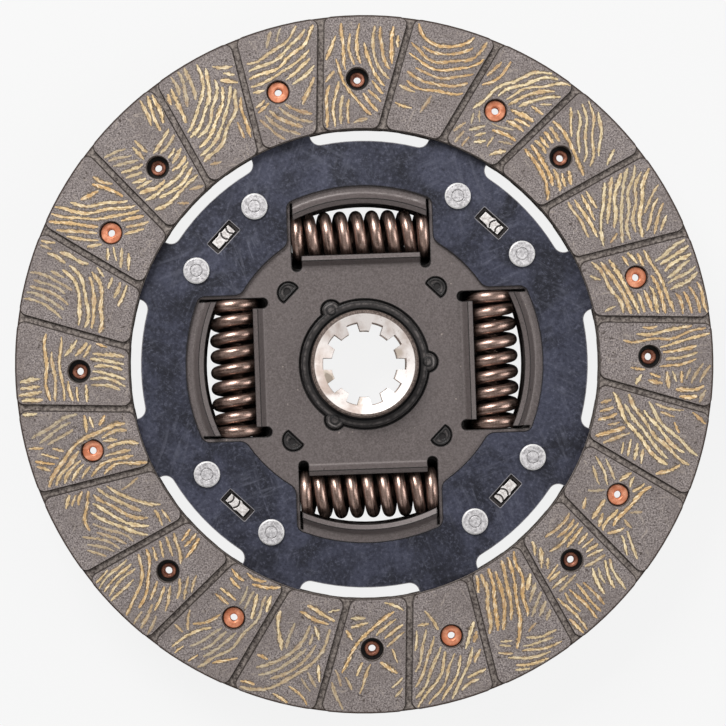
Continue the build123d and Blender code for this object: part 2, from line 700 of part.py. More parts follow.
with BuildPart() as spring_blank:
    for step in range(coil_steps * (spring_active_turns + 2) + 1):
        turn = step / coil_steps
        around = 2 * pi * turn + pi
        outward = Vector(sin(around), 0, cos(around))
        centre = Vector(spring_axis_radius, coil_rise(turn) - spring_length / 2, spring_axis_z)
        forward = Vector(cos(around), active_turn_rise / (2 * pi * coil_radius), -sin(around))
        with BuildSketch(Plane(origin=centre + outward * coil_radius, x_dir=outward, z_dir=forward)):
            RegularPolygon(spring_wire_radius, wire_sides, major_radius=False, rotation=180 / wire_sides)
    loft(ruled=True)
    with Locations((spring_axis_radius, 0, spring_axis_z)):
        Box(3 * spring_radius, spring_length, 3 * spring_radius, mode=Mode.INTERSECT)
for number, angle in enumerate(window_angles, start=1):
    with BuildPart() as spring:
        add(spring_blank.part.rotate(Axis.Z, angle))
    keep(f"spring_{number}", spring)

os.makedirs("parts", exist_ok=True)
for name, piece in pieces.items():
    export_step(piece, f"parts/{name}.step")
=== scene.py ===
import json
import random
from math import cos, hypot, pi, radians, sin, tau

import bpy
from mathutils import Matrix, Vector


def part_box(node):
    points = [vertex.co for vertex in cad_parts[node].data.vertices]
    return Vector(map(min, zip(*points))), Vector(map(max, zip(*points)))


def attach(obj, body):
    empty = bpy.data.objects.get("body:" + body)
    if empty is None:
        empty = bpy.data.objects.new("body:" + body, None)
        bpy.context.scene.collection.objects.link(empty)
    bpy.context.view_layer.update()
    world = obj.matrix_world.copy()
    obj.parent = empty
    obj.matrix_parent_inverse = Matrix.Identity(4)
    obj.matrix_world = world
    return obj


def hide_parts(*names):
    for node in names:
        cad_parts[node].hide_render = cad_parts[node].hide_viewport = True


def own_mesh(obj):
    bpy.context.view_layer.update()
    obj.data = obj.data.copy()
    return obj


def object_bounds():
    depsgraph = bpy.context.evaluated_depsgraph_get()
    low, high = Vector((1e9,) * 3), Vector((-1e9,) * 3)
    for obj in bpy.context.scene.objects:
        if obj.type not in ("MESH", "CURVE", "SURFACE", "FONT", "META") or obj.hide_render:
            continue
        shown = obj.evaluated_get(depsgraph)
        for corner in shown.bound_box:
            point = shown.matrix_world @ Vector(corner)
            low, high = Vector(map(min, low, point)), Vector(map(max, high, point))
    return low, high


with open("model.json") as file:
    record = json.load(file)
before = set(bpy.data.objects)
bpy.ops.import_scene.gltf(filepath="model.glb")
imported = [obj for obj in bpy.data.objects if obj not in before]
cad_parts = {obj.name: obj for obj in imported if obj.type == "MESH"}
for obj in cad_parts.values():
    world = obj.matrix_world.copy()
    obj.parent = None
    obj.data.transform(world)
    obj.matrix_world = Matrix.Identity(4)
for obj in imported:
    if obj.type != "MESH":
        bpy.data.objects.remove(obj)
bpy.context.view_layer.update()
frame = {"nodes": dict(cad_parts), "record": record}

# Lengths are in millimetres here and turned into metres with MM
MM = 0.001

# The facings: their box comes from the frame, the rest repeats the sizes of the part
facing_low, facing_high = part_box("front_facing")
FACE_Z = facing_high.z
FACING_RADIUS = facing_high.x
FACING_BORE = 81.0 * MM
PAD_COUNT = 24
GROOVE_DIRECTION = radians(-0.7)
GROOVE_OFFSET = 16.5 * MM
GROOVE_WIDTH = 2.2 * MM
RIVET_CIRCLE = 98.1 * MM
OWN_RIVET = radians(17.7)
OTHER_RIVET = radians(1.5)
RIVET_COUNT = 8
POCKET_RADIUS = 3.95 * MM

# The yarn in the pads; pairs are the least and the most of a random draw, in millimetres where sizes
YARN_STEP = 1.0 * MM
YARN_CLEARANCE = 1.5 * MM
YARN_MARGIN = 0.7 * MM
YARN_LIFT = (0.01, 0.05)
YARN_WIDTH = (1.5, 2.2)
YARN_WIDTH_SPREAD = 0.5
YARN_GAP = (2.1, 2.7)
YARN_CURVES = ((18, 34), (30, 60), (50, 120))
YARN_SLANT = 0.6
YARN_STRENGTHS = (1.0, 1.0, 0.9, 0.55)
YARN_BOLDNESS = (0.7, 1.0)
YARN_START_SPREAD = 2 * MM
TINT_SPREAD = 0.3
WAVER = (0.15, 0.55)
WAVER_PACE = (0.25, 0.55)
UNEVENNESS = 0.12
UNEVEN_PACE = (0.4, 0.9)
UNEVEN_OFFSETS = (0, 500)
END_WIDTH = 0.5
END_WIDENING = 0.25
TIGHTEST_CURVE = 5 * MM
FEWEST_STEPS = 6
SHORTEST_RUN = 4
YARN_BUNDLES = 6
LONG_BUNDLES = {"strokes": (4, 8), "lengths": (18, 42), "inset": 12 * MM, "spread": 0.22}
SHORT_BUNDLES = {"strokes": (3, 6), "lengths": (9, 26), "inset": 5 * MM, "spread": 0.5}
PAD_MIDDLE = radians(1.3)
FRONT_SEED, REAR_SEED = 11, 23

# The hub and the damper plates
HUB_TUBE = 18.6 * MM
HUB_MOUTH = 17.2 * MM
TOOTH_ROOT = 14.5 * MM
BUSH_STEP = 21.4 * MM
BUSH_RIDGE = BUSH_STEP + 2.4 * MM
CARRIER_OPENING = 61.5 * MM
CARRIER_THICKNESS = 1.0 * MM
spring_low, spring_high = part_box("spring_1")
SPRING_AXIS_Z = (spring_low.z + spring_high.z) / 2
PLATE_FACE_DEPTH = facing_low.z - CARRIER_THICKNESS - SPRING_AXIS_Z

# The damper springs, with how far they sit from their solids' axes to clear the rear lips
SPRING_COUNT = 4
WINDOW_DIRECTION = radians(2.0)
SPRING_RADIUS = 8.9 * MM
WIRE_RADIUS = 2.1 * MM
SPRING_AXIS_RADIUS = 44.5 * MM
SPRING_LENGTH = 47.8 * MM
ACTIVE_TURNS = 7
END_TURN_RISE = 4.45 * MM
END_TURN_DELAY = 1.2
END_TURN_FLATNESS = 0.8
SPRING_STEPS = 56
WIRE_STEPS = 18
SPRING_OUTWARD = 0.1 * MM
SPRING_FORWARD = 0.3 * MM
SPRING_BARREL = 0.25 * MM

# How fast the streaks change along a spring's wire, and how far apart they are from spring to spring
STREAK_PACE = 1.6
STREAK_SHIFT = 3

# Where the rear plate's lips end, as distances from the disc's axis and heights
WINDOW_END = 24.0 * MM
WEB_REACH = 0.25 * MM
WEB_OVERLAP = 0.2 * MM
INNER_LIP_END = ((33.5, -13.15), (35.0, -13.2), (40.2, -17.4))
OUTER_LIP_END = ((54.5, -13.15), (52.9, -13.2), (50.8, -16.4))

# The photograph's view: a long lens, almost on the axis
EYE = Vector((-9.0, -6.0, 800.0)) * MM
AIM = Vector((-0.6, 0.3, 0.0)) * MM
VIEW_WIDTH = 249.4 * MM
SENSOR = 36.0

# The pale surroundings, and the lamps with their places and widths in metres and their power in watts
PALE = (0.9216, 0.9216, 0.9216, 1)
WHITE = (1.0, 1.0, 1.0, 1)
FLOOR_COLOUR = (0.86, 0.86, 0.86, 1)
FLOOR_SIZE = 6.0
FLOOR_GLOW = 0.94
SKY_STRENGTH = 0.39
LAMPS = (
    ("key", (-0.45, 0.8, 0.85), 0.6, 16.5),
    ("fill", (0.9, 0.05, 0.7), 0.7, 5.0),
    ("low_fill", (-0.35, -0.85, 0.6), 0.6, 0.4),
)


def rgb(red, green, blue):
    """A colour written as the photograph shows it, 0 to 255, as linear light."""
    values = []
    for value in (red, green, blue):
        share = value / 255
        values.append(share / 12.92 if share <= 0.04045 else ((share + 0.055) / 1.055) ** 2.4)
    return (*values, 1.0)


class Shader:
    """A material's node tree, with short ways to add the nodes that the finishes share."""

    EDGE_SAMPLES = 8
    EDGE_GAIN = 1.85
    BUMP_SAMPLES = 6

    def __init__(self, name):
        self.material = bpy.data.materials.new(name)
        self.material.use_nodes = True
        self.nodes = self.material.node_tree.nodes
        self.links = self.material.node_tree.links
        self.surface = self.nodes["Principled BSDF"]
        self.place = self.nodes.new("ShaderNodeTexCoord").outputs["Object"]

    def link(self, source, target):
        """Link a node's output to another node's socket."""
        self.links.new(source, target)

    def put(self, socket, value):
        """Set a socket to a number or colour, or link it to a node's output."""
        if isinstance(value, bpy.types.NodeSocket):
            self.links.new(value, socket)
        else:
            socket.default_value = value

    def set(self, **values):
        """Set sockets of the surface; the names have underscores for spaces."""
        for name, value in values.items():
            self.put(self.surface.inputs[name.replace("_", " ")], value)

    def math(self, operation, first, second=0.0, clamp=False):
        """The result of a sum with one or two values."""
        node = self.nodes.new("ShaderNodeMath")
        node.operation = operation
        node.use_clamp = clamp
        self.put(node.inputs[0], first)
        self.put(node.inputs[1], second)
        return node.outputs[0]

    def times(self, first, second):
        """One value times another."""
        return self.math("MULTIPLY", first, second)

    def apart(self, value, middle):
        """How far a value is from another, either way."""
        return self.math("ABSOLUTE", self.math("SUBTRACT", value, middle))

    def vector(self, *parts):
        """A vector made of two or three values."""
        node = self.nodes.new("ShaderNodeCombineXYZ")
        for part, socket in zip(parts, node.inputs):
            self.link(part, socket)
        return node.outputs[0]

    def parts(self, vector):
        """The three values of a vector."""
        node = self.nodes.new("ShaderNodeSeparateXYZ")
        self.link(vector, node.inputs[0])
        return node.outputs

    def scaled(self, scale, turn=0.0):
        """The object's own coordinates, turned about Z and then scaled by an amount for each axis."""
        turned = self.nodes.new("ShaderNodeMapping")
        turned.inputs["Rotation"].default_value = (0, 0, turn)
        self.link(self.place, turned.inputs["Vector"])
        stretched = self.nodes.new("ShaderNodeMapping")
        stretched.inputs["Scale"].default_value = scale
        self.link(turned.outputs[0], stretched.inputs["Vector"])
        return stretched.outputs[0]

    def noise(self, scale, detail, roughness, where=None, distortion=0.0):
        """Noise between 0 and 1, at the object's own coordinates or at a vector."""
        node = self.nodes.new("ShaderNodeTexNoise")
        node.inputs["Scale"].default_value = scale
        node.inputs["Detail"].default_value = detail
        node.inputs["Roughness"].default_value = roughness
        node.inputs["Distortion"].default_value = distortion
        self.link(where or self.place, node.inputs["Vector"])
        return node.outputs["Fac"]

    def ramp(self, value, low, high, start=0.0, end=1.0):
        """Turn a value between low and high smoothly into one between start and end."""
        node = self.nodes.new("ShaderNodeMapRange")
        node.interpolation_type = "SMOOTHSTEP"
        for name, number in (("From Min", low), ("From Max", high), ("To Min", start), ("To Max", end)):
            node.inputs[name].default_value = number
        self.link(value, node.inputs["Value"])
        return node.outputs["Result"]

    def mix(self, share, first, second):
        """The first colour with a share of the second."""
        node = self.nodes.new("ShaderNodeMix")
        node.data_type = "RGBA"
        self.put(node.inputs[0], share)
        self.put(node.inputs[6], first)
        self.put(node.inputs[7], second)
        return node.outputs[2]

    def between(self, mark, low, high, first, second):
        """The first colour where a mark is low, the second where it is high."""
        return self.mix(self.ramp(mark, low, high), first, second)

    def stain(self, colour, mark, low, high, share, other):
        """A colour that takes on up to a share of another as a mark goes from low to high."""
        return self.mix(self.ramp(mark, low, high, 0.0, share), colour, other)

    def attribute(self, name):
        """A value stored on the mesh's points."""
        node = self.nodes.new("ShaderNodeAttribute")
        node.attribute_name = name
        return node.outputs["Fac"]

    def radius(self):
        """The distance from the hub's axis."""
        parts = self.parts(self.place)
        squares = [self.times(parts[i], parts[i]) for i in (0, 1)]
        return self.math("SQRT", self.math("ADD", squares[0], squares[1]))

    def height(self):
        """The height along the hub's axis."""
        return self.parts(self.place)[2]

    def level(self):
        """How nearly a surface lies across the hub's axis: 1 on flat faces, 0 on walls."""
        return self.math("ABSOLUTE", self.parts(self.place.node.outputs["Normal"])[2])

    def rounded(self, radius, samples):
        """The surface's normal, as if its edges were rounded."""
        node = self.nodes.new("ShaderNodeBevel")
        node.samples = samples
        node.inputs["Radius"].default_value = radius
        return node.outputs[0]

    def edge(self, radius):
        """How near a point lies to an edge: about 1 on it, and 0 further from it than the radius."""
        product = self.nodes.new("ShaderNodeVectorMath")
        product.operation = "DOT_PRODUCT"
        self.link(self.rounded(radius, self.EDGE_SAMPLES), product.inputs[0])
        self.link(self.nodes.new("ShaderNodeNewGeometry").outputs["Normal"], product.inputs[1])
        turned = self.math("MAXIMUM", self.math("SUBTRACT", 1.0, product.outputs["Value"]), 0.0)
        return self.math("MULTIPLY", self.math("SQRT", turned), self.EDGE_GAIN, clamp=True)

    def bump(self, height, distance, strength, edge=0.0):
        """Bump from a height between 0 and 1, on edges softened by a small radius."""
        node = self.nodes.new("ShaderNodeBump")
        node.inputs["Distance"].default_value = distance
        node.inputs["Strength"].default_value = strength
        self.link(height, node.inputs["Height"])
        if edge:
            self.link(self.rounded(edge, self.BUMP_SAMPLES), node.inputs["Normal"])
        self.link(node.outputs[0], self.surface.inputs["Normal"])


def scuffs(s, turns, scale, patch_scale=30):
    """Fine rubbed marks in several directions, as a value near 1 where one lies."""
    total = None
    for turn in turns:
        lines = s.noise(scale, 3.0, 0.65, where=s.scaled((1.0, 0.12, 1.0), turn), distortion=0.5)
        patches = s.noise(patch_scale, 3.0, 0.6, where=s.scaled((1.0, 1.0, 1.0), turn + 1.0))
        line = s.times(s.ramp(lines, 0.52, 0.70), s.ramp(patches, 0.42, 0.66))
        total = line if total is None else s.math("MAXIMUM", total, line)
    return total


def lining_colour(s):
    """Grey friction lining: a fine grain, cloudy patches, short fibres every way, and dark pits."""
    cloud, pit = rgb(106, 97, 94), rgb(52, 42, 36)
    pale_fibre, dark_fibre = rgb(168, 156, 145), rgb(78, 69, 66)
    grain = s.noise(1900, 5.0, 0.75)
    colour = s.between(grain, 0.35, 0.67, rgb(60, 52, 51), rgb(165, 155, 152))
    colour = s.stain(colour, s.noise(75, 4.0, 0.6), 0.35, 0.68, 0.5, cloud)
    for turn in (0.4, 1.5, 2.6):
        fibres = s.noise(700, 4.0, 0.7, where=s.scaled((1.0, 0.25, 1.0), turn), distortion=0.8)
        colour = s.stain(colour, fibres, 0.58, 0.72, 0.5, pale_fibre)
        colour = s.stain(colour, fibres, 0.42, 0.30, 0.5, dark_fibre)
    colour = s.stain(colour, s.noise(820, 1.0, 0.4), 0.31, 0.24, 0.75, pit)
    return colour, grain


def facing_material():
    """Ground lining, with rougher groove floors, a painted highlight and painted shade along the edges, and
    a dark brown line round the rim.
    """
    s = Shader("facing_lining")
    painted_edge_highlight, painted_edge_shade, rim_line_colour = rgb(176, 164, 156), rgb(38, 30, 27), rgb(52, 40, 34)
    ground, grain = lining_colour(s)
    # The groove floors take a darker, coarser-grained colour
    floor = s.ramp(s.math("ABSOLUTE", s.height()), FACE_Z - 0.5 * MM, FACE_Z - 0.05 * MM, 1.0, 0.0)
    groove_floor_colour = s.between(s.noise(1000, 4.0, 0.75), 0.34, 0.68, rgb(62, 54, 51), rgb(146, 136, 129))
    edge = s.edge(0.6 * MM)
    # Painted highlight just inside the pads' edges
    ground = s.stain(ground, edge, 0.03, 0.10, 0.3, painted_edge_highlight)
    colour = s.mix(floor, ground, groove_floor_colour)
    # Painted shade along the edges and down the groove walls
    colour = s.stain(colour, edge, 0.14, 0.28, 0.9, painted_edge_shade)
    # A dark brown line along the outer rim
    colour = s.stain(colour, s.radius(), FACING_RADIUS - 0.8 * MM, FACING_RADIUS - 0.3 * MM, 1.0, rim_line_colour)
    s.set(Base_Color=colour, Roughness=s.ramp(grain, 0.2, 0.8, 0.6, 0.9), Specular_IOR_Level=0.3)
    s.bump(grain, 0.12 * MM, 0.5, 0.22 * MM)
    return s.material


def yarn_material():
    """Brass-laced yarn ground flush with the lining: twisted strands, pale inside and brown at the edges."""
    s = Shader("facing_yarn")
    pale_strand, dark_strand, knot = rgb(250, 234, 202), rgb(150, 124, 84), rgb(176, 140, 104)
    ground, grain = lining_colour(s)
    across, along, tint, fade = (s.attribute(name) for name in ("across", "along", "tint", "fade"))
    twist = s.math("ADD", s.times(across, 1.7), s.times(along, 0.25))
    strands = s.noise(1.3, 3.0, 0.6, where=s.vector(twist, s.times(along, 0.30)))
    fray = s.noise(1100, 5.0, 0.75)
    knots = s.noise(330, 3.0, 0.6)
    reach = s.math("SUBTRACT", 1.0, s.math("ABSOLUTE", across))
    for part, share in ((fray, 1.2), (strands, 0.6), (knots, 0.7)):
        reach = s.math("ADD", reach, s.times(s.math("SUBTRACT", part, 0.5), share))
    gold = s.mix(tint, rgb(216, 196, 154), rgb(196, 156, 102))
    gold = s.stain(gold, strands, 0.50, 0.62, 0.7, pale_strand)
    gold = s.stain(gold, strands, 0.46, 0.36, 0.8, dark_strand)
    gold = s.stain(gold, knots, 0.56, 0.68, 0.6, knot)
    brown = s.between(fray, 0.4, 0.65, rgb(64, 51, 40), rgb(120, 102, 76))
    edge = s.mix(s.times(s.ramp(reach, 0.06, 0.26, 0.0, 0.85), fade), ground, brown)
    colour = s.mix(s.times(s.ramp(reach, 0.48, 0.64), fade), edge, gold)
    s.set(Base_Color=colour, Roughness=0.62, Specular_IOR_Level=0.35)
    s.bump(s.math("ADD", grain, strands), 0.10 * MM, 0.6)
    return s.material


def blued_material():
    """Blued spring steel: dark navy, rubbed and speckled pale, with a painted highlight on its cut edges,
    painted shadow round its inner opening and near black painted shade between the facings.
    """
    s = Shader("blued_steel")
    pale_speck, dark_speck, rubbed = rgb(92, 94, 110), rgb(18, 18, 27), rgb(110, 112, 126)
    painted_cut_edge_highlight, painted_opening_shadow, painted_shade_between_facings = rgb(164, 160, 162), rgb(20, 16, 18), rgb(20, 16, 15)
    smudge = s.noise(48, 5.0, 0.62, distortion=0.8)
    grain = s.noise(900, 6.0, 0.8)
    scuff = scuffs(s, (0.3, 1.2, 2.1, 2.8), 600)
    colour = s.between(smudge, 0.36, 0.66, rgb(23, 24, 35), rgb(58, 60, 76))
    colour = s.stain(colour, grain, 0.50, 0.68, 0.6, pale_speck)
    colour = s.stain(colour, grain, 0.48, 0.34, 0.6, dark_speck)
    colour = s.mix(s.times(scuff, 0.32), colour, rubbed)
    radius = s.radius()
    edge, wall = s.edge(0.8 * MM), s.ramp(s.level(), 0.4, 0.2, 0.0, 0.7)
    inner = s.ramp(radius, CARRIER_OPENING + 1.2 * MM, CARRIER_OPENING + 0.6 * MM)
    # Painted highlight along the cut edges and on the walls
    pale = s.math("MAXIMUM", s.ramp(edge, 0.34, 0.60, 0.0, 0.7), wall)
    colour = s.mix(pale, colour, painted_cut_edge_highlight)
    # Painted shadow along the edge of the inner opening
    colour = s.mix(s.times(inner, s.ramp(edge, 0.08, 0.22)), colour, painted_opening_shadow)
    # Painted shade, near black, where the plate runs in between the facings
    colour = s.stain(colour, radius, FACING_BORE - 0.5 * MM, FACING_BORE + 1.0 * MM, 1.0, painted_shade_between_facings)
    s.set(Base_Color=colour, Metallic=0.3, Roughness=s.ramp(grain, 0.3, 0.7, 0.36, 0.52))
    s.bump(s.math("ADD", grain, scuff), 0.02 * MM, 0.5, 0.2 * MM)
    return s.material


def phosphate_material():
    """Phosphated pressed steel: warm dark grey with a fine tooth and pits, a painted highlight and painted
    shade along its edges, and painted shade below its flat face and under the carrier.
    """
    s = Shader("phosphated_steel")
    cloud, pale_speck, pit = rgb(98, 90, 89), rgb(152, 141, 133), rgb(50, 44, 42)
    painted_edge_highlight, painted_edge_shade, painted_deep_shade = rgb(142, 133, 130), rgb(24, 18, 17), rgb(22, 17, 16)
    tooth = s.noise(1700, 4.0, 0.65)
    specks = s.noise(620, 1.0, 0.4)
    colour = s.between(tooth, 0.3, 0.75, rgb(84, 76, 74), rgb(112, 103, 102))
    colour = s.stain(colour, s.noise(60, 3.0, 0.6), 0.4, 0.7, 0.4, cloud)
    colour = s.stain(colour, specks, 0.76, 0.82, 0.8, pale_speck)
    colour = s.stain(colour, specks, 0.24, 0.18, 0.7, pit)
    edge = s.edge(0.7 * MM)
    # Painted highlight just inside the edges and painted shade along them
    colour = s.stain(colour, edge, 0.04, 0.14, 0.4, painted_edge_highlight)
    colour = s.stain(colour, edge, 0.14, 0.28, 0.95, painted_edge_shade)
    depth = s.apart(s.height(), SPRING_AXIS_Z)
    # Painted shade where the plate lies below its flat face, as on the lips and round the windows, and
    # painted shadow under the carrier's opening
    cut = s.ramp(depth, PLATE_FACE_DEPTH - 0.45 * MM, PLATE_FACE_DEPTH - 0.15 * MM, 1.0, 0.0)
    under = s.ramp(s.radius(), CARRIER_OPENING - 0.2 * MM, CARRIER_OPENING + 0.4 * MM, 0.0, 0.85)
    colour = s.mix(s.math("MAXIMUM", cut, under), colour, painted_deep_shade)
    s.set(Base_Color=colour, Metallic=0.25, Roughness=s.ramp(tooth, 0.2, 0.8, 0.40, 0.58))
    s.bump(tooth, 0.03 * MM, 0.5, 0.3 * MM)
    return s.material


def spring_material():
    """Oiled dark bronze spring wire, streaked along its length, with painted shade away from the open side.
    """
    s = Shader("spring_wire")
    pale_speck, dark_speck, painted_deep_shade = rgb(236, 218, 208), rgb(72, 54, 47), rgb(34, 24, 20)
    lay = s.vector(*(s.attribute(name) for name in ("wire_x", "wire_y", "travel")))
    streak = s.noise(2.4, 5.0, 0.65, where=lay, distortion=0.4)
    grain = s.noise(2000, 4.0, 0.65)
    colour = s.between(streak, 0.32, 0.70, rgb(108, 86, 77), rgb(194, 164, 151))
    colour = s.stain(colour, grain, 0.52, 0.76, 0.6, pale_speck)
    colour = s.stain(colour, grain, 0.46, 0.30, 0.5, dark_speck)
    # Painted shade, darker towards the back of the spring
    shade = s.ramp(s.height(), SPRING_AXIS_Z - 1.0 * MM, SPRING_AXIS_Z + 6.0 * MM, 0.8, 0.0)
    colour = s.mix(shade, colour, painted_deep_shade)
    s.set(Base_Color=colour, Metallic=0.94, Roughness=s.ramp(streak, 0.3, 0.7, 0.26, 0.37))
    s.bump(grain, 0.015 * MM, 0.45)
    return s.material


def copper_material():
    """Turned copper heads of the tubular rivets; their rolled tails, deep in the holes, are darker."""
    s = Shader("rivet_copper")
    cloud = s.noise(420, 3.0, 0.6)
    grain = s.noise(2600, 3.0, 0.6)
    colour = s.between(cloud, 0.35, 0.7, rgb(212, 128, 92), rgb(240, 166, 130))
    colour = s.stain(colour, grain, 0.5, 0.8, 0.45, rgb(172, 100, 72))
    # The rolled tails, deep in the holes, take a darker copper
    deep_tail_colour = s.between(cloud, 0.35, 0.7, rgb(122, 76, 60), rgb(192, 128, 102))
    deep = s.ramp(s.math("ABSOLUTE", s.height()), 1.5 * MM, 1.8 * MM, 1.0, 0.0)
    colour = s.mix(s.times(deep, s.ramp(s.level(), 0.2, 0.5)), colour, deep_tail_colour)
    s.set(Base_Color=colour, Metallic=0.5, Roughness=s.ramp(cloud, 0.3, 0.7, 0.32, 0.46))
    s.bump(grain, 0.03 * MM, 0.4, 0.2 * MM)
    return s.material


def bright_material(name, dark, light, roughness, top, press):
    """Bright plated or bare steel, dulled by fine marks, with a painted highlight on its chamfers and
    painted shade in what is punched into its top face and on its walls.
    """
    s = Shader(name)
    painted_slope_highlight, shadow = rgb(250, 248, 246), rgb(40, 34, 32)
    grain = s.noise(1200, 4.0, 0.7)
    marks = scuffs(s, (0.4, 1.5, 2.5), 900, 90)
    colour = s.between(grain, 0.32, 0.66, dark, light)
    colour = s.mix(s.times(marks, 0.45), colour, dark)
    level = s.level()
    # Painted highlight on the sloping faces of the chamfers
    slope = s.times(s.ramp(level, 0.3, 0.5), s.ramp(level, 0.97, 0.8))
    colour = s.mix(s.times(slope, 0.8), colour, painted_slope_highlight)
    # Painted shade in what is punched into the top face and on the walls
    punched = s.ramp(s.height(), top - 0.2 * MM, top - 0.1 * MM, 1.0, 0.0)
    punched = s.times(s.times(punched, s.ramp(level, 0.97, 0.995)), press)
    wall = s.ramp(level, 0.3, 0.1, 0.0, 0.8 * press)
    colour = s.mix(s.math("MAXIMUM", punched, wall), colour, shadow)
    s.set(Base_Color=colour, Metallic=0.4, Roughness=s.ramp(grain, 0.3, 0.7, roughness, roughness + 0.14))
    s.bump(s.math("ADD", grain, marks), 0.03 * MM, 0.4, 0.25 * MM)
    return s.material


def plastic_material():
    """Dark moulded plastic of the bushes and the friction ring, with black painted shade in the gaps and
    round the bush's bore, painted shade at its step and along its edges, and a painted highlight on its
    ridge.
    """
    s = Shader("dark_plastic")
    painted_step_shade, painted_ridge_highlight, black, painted_edge_shade = rgb(24, 19, 18), rgb(128, 122, 120), rgb(20, 15, 15), rgb(12, 9, 9)
    grain = s.noise(1300, 4.0, 0.65)
    radius = s.radius()
    colour = s.between(s.noise(520, 4.0, 0.7), 0.36, 0.66, rgb(38, 33, 32), rgb(92, 86, 84))
    # Painted shade at the bush's step and a painted highlight on its ridge
    colour = s.stain(colour, s.apart(radius, BUSH_STEP), 0.3 * MM, 0.1 * MM, 0.8, painted_step_shade)
    colour = s.stain(colour, s.apart(radius, BUSH_RIDGE), 0.35 * MM, 0.1 * MM, 0.55, painted_ridge_highlight)
    # Painted shade round the bush's bore, in the gap to the hub's tube
    colour = s.stain(colour, radius, BUSH_STEP - 0.6 * MM, BUSH_STEP - 1.2 * MM, 0.9, black)
    # Painted shade along the edges
    colour = s.stain(colour, s.edge(0.8 * MM), 0.05, 0.15, 0.95, painted_edge_shade)
    # Painted shade in the gaps below the plates' faces
    depth = s.apart(s.height(), SPRING_AXIS_Z)
    gaps = s.ramp(depth, PLATE_FACE_DEPTH - 1.1 * MM, PLATE_FACE_DEPTH - 0.5 * MM, 1.0, 0.0)
    colour = s.mix(gaps, colour, black)
    s.set(Base_Color=colour, Roughness=s.ramp(grain, 0.2, 0.8, 0.36, 0.55))
    s.bump(grain, 0.04 * MM, 0.5, 0.3 * MM)
    return s.material


def hub_material():
    """Machined hub: brown round the tube's end, bright in the mouth, and stained on a few teeth."""
    s = Shader("hub_steel")
    pale_stain, dark_stain = rgb(190, 178, 164), rgb(128, 116, 102)
    radius = s.radius()
    grain = s.noise(1500, 4.0, 0.7)
    cloud = s.noise(95, 3.0, 0.55, distortion=0.4)
    bright = s.between(cloud, 0.36, 0.62, rgb(192, 174, 164), rgb(240, 233, 229))
    bright = s.stain(bright, grain, 0.56, 0.74, 0.45, rgb(168, 148, 138))
    bright = s.stain(bright, s.noise(330, 4.0, 0.7), 0.56, 0.70, 0.5, rgb(176, 160, 150))
    tooth = s.ramp(radius, TOOTH_ROOT + 0.1 * MM, TOOTH_ROOT - 0.3 * MM)
    bright = s.mix(s.times(tooth, s.ramp(cloud, 0.50, 0.42, 0.0, 0.8)), bright, pale_stain)
    bright = s.mix(s.times(tooth, s.ramp(cloud, 0.40, 0.36, 0.0, 0.8)), bright, dark_stain)
    brown = s.between(grain, 0.32, 0.68, rgb(62, 51, 46), rgb(128, 113, 105))
    colour = s.between(radius, HUB_MOUTH - 0.05 * MM, HUB_MOUTH + 0.15 * MM, bright, brown)
    # Painted shade along the tube's outer edge, in the gap to the bush
    colour = s.stain(colour, radius, HUB_TUBE - 0.15 * MM, HUB_TUBE, 1.0, rgb(26, 20, 18))
    s.set(Base_Color=colour, Metallic=0.3, Roughness=s.ramp(grain, 0.3, 0.7, 0.40, 0.56))
    s.bump(grain, 0.03 * MM, 0.4, 0.2 * MM)
    return s.material


def dress_nodes():
    """Give each solid of the frame its finish."""
    head_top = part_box("plate_rivets")[1].z
    tenon_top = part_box("stop_plate_1")[1].z
    zinc = bright_material("zinc_plate", rgb(158, 155, 157), rgb(224, 221, 222), 0.34, head_top, 0.2)
    bare = bright_material("bare_steel", rgb(186, 178, 174), rgb(246, 242, 239), 0.32, tenon_top, 0.9)
    finishes = {
        "facing": facing_material(),
        "copper": copper_material(),
        "blued_steel": blued_material(),
        "phosphated_steel": phosphate_material(),
        "zinc": zinc,
        "bright_steel": bare,
        "dark_plastic": plastic_material(),
        "hub_steel": hub_material(),
        "spring_steel": spring_material(),
    }
    for entry in frame["record"]["subparts"]:
        node = frame["nodes"][entry["node"]]
        for slot in node.material_slots:
            slot.material = finishes[entry["material_slot"]]
    return finishes


def new_piece(name, points, faces, material, body, smooth=True):
    """Make a mesh piece that rides on a body and takes the finish it is given."""
    mesh = bpy.data.meshes.new(name)
    mesh.from_pydata(points, [], faces)
    mesh.materials.append(material)
    for face in mesh.polygons:
        face.use_smooth = smooth
    piece = bpy.data.objects.new(name, mesh)
    bpy.context.scene.collection.objects.link(piece)
    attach(piece, body)
    return piece


def store_values(piece, values):
    """Keep lists of numbers on a piece's points, under their names, for its material."""
    for name, numbers in values.items():
        piece.data.attributes.new(name, "FLOAT", "POINT").data.foreach_set("value", numbers)


def window_axes(number):
    """The directions outward from the disc's axis and along one of the spring windows."""
    direction = WINDOW_DIRECTION + number * tau / SPRING_COUNT
    return Vector((cos(direction), sin(direction), 0)), Vector((-sin(direction), cos(direction), 0))


def end_rise(turn):
    """The share of its rise that a closed end turn has made: it rises at the back and lies flat in front."""
    slow = turn ** END_TURN_DELAY
    return slow + END_TURN_FLATNESS * sin(tau * slow) / tau


def coil_rise(turn):
    """How far along the spring the wire's centre has gone; the first and last turns are closed."""
    active_rise = (SPRING_LENGTH - 2 * END_TURN_RISE) / ACTIVE_TURNS
    active = min(max(turn - 1, 0), ACTIVE_TURNS)
    first, last = min(turn, 1), max(turn - 1 - ACTIVE_TURNS, 0)
    closed = end_rise(first) + 1 - end_rise(1 - last)
    return closed * END_TURN_RISE + active * active_rise


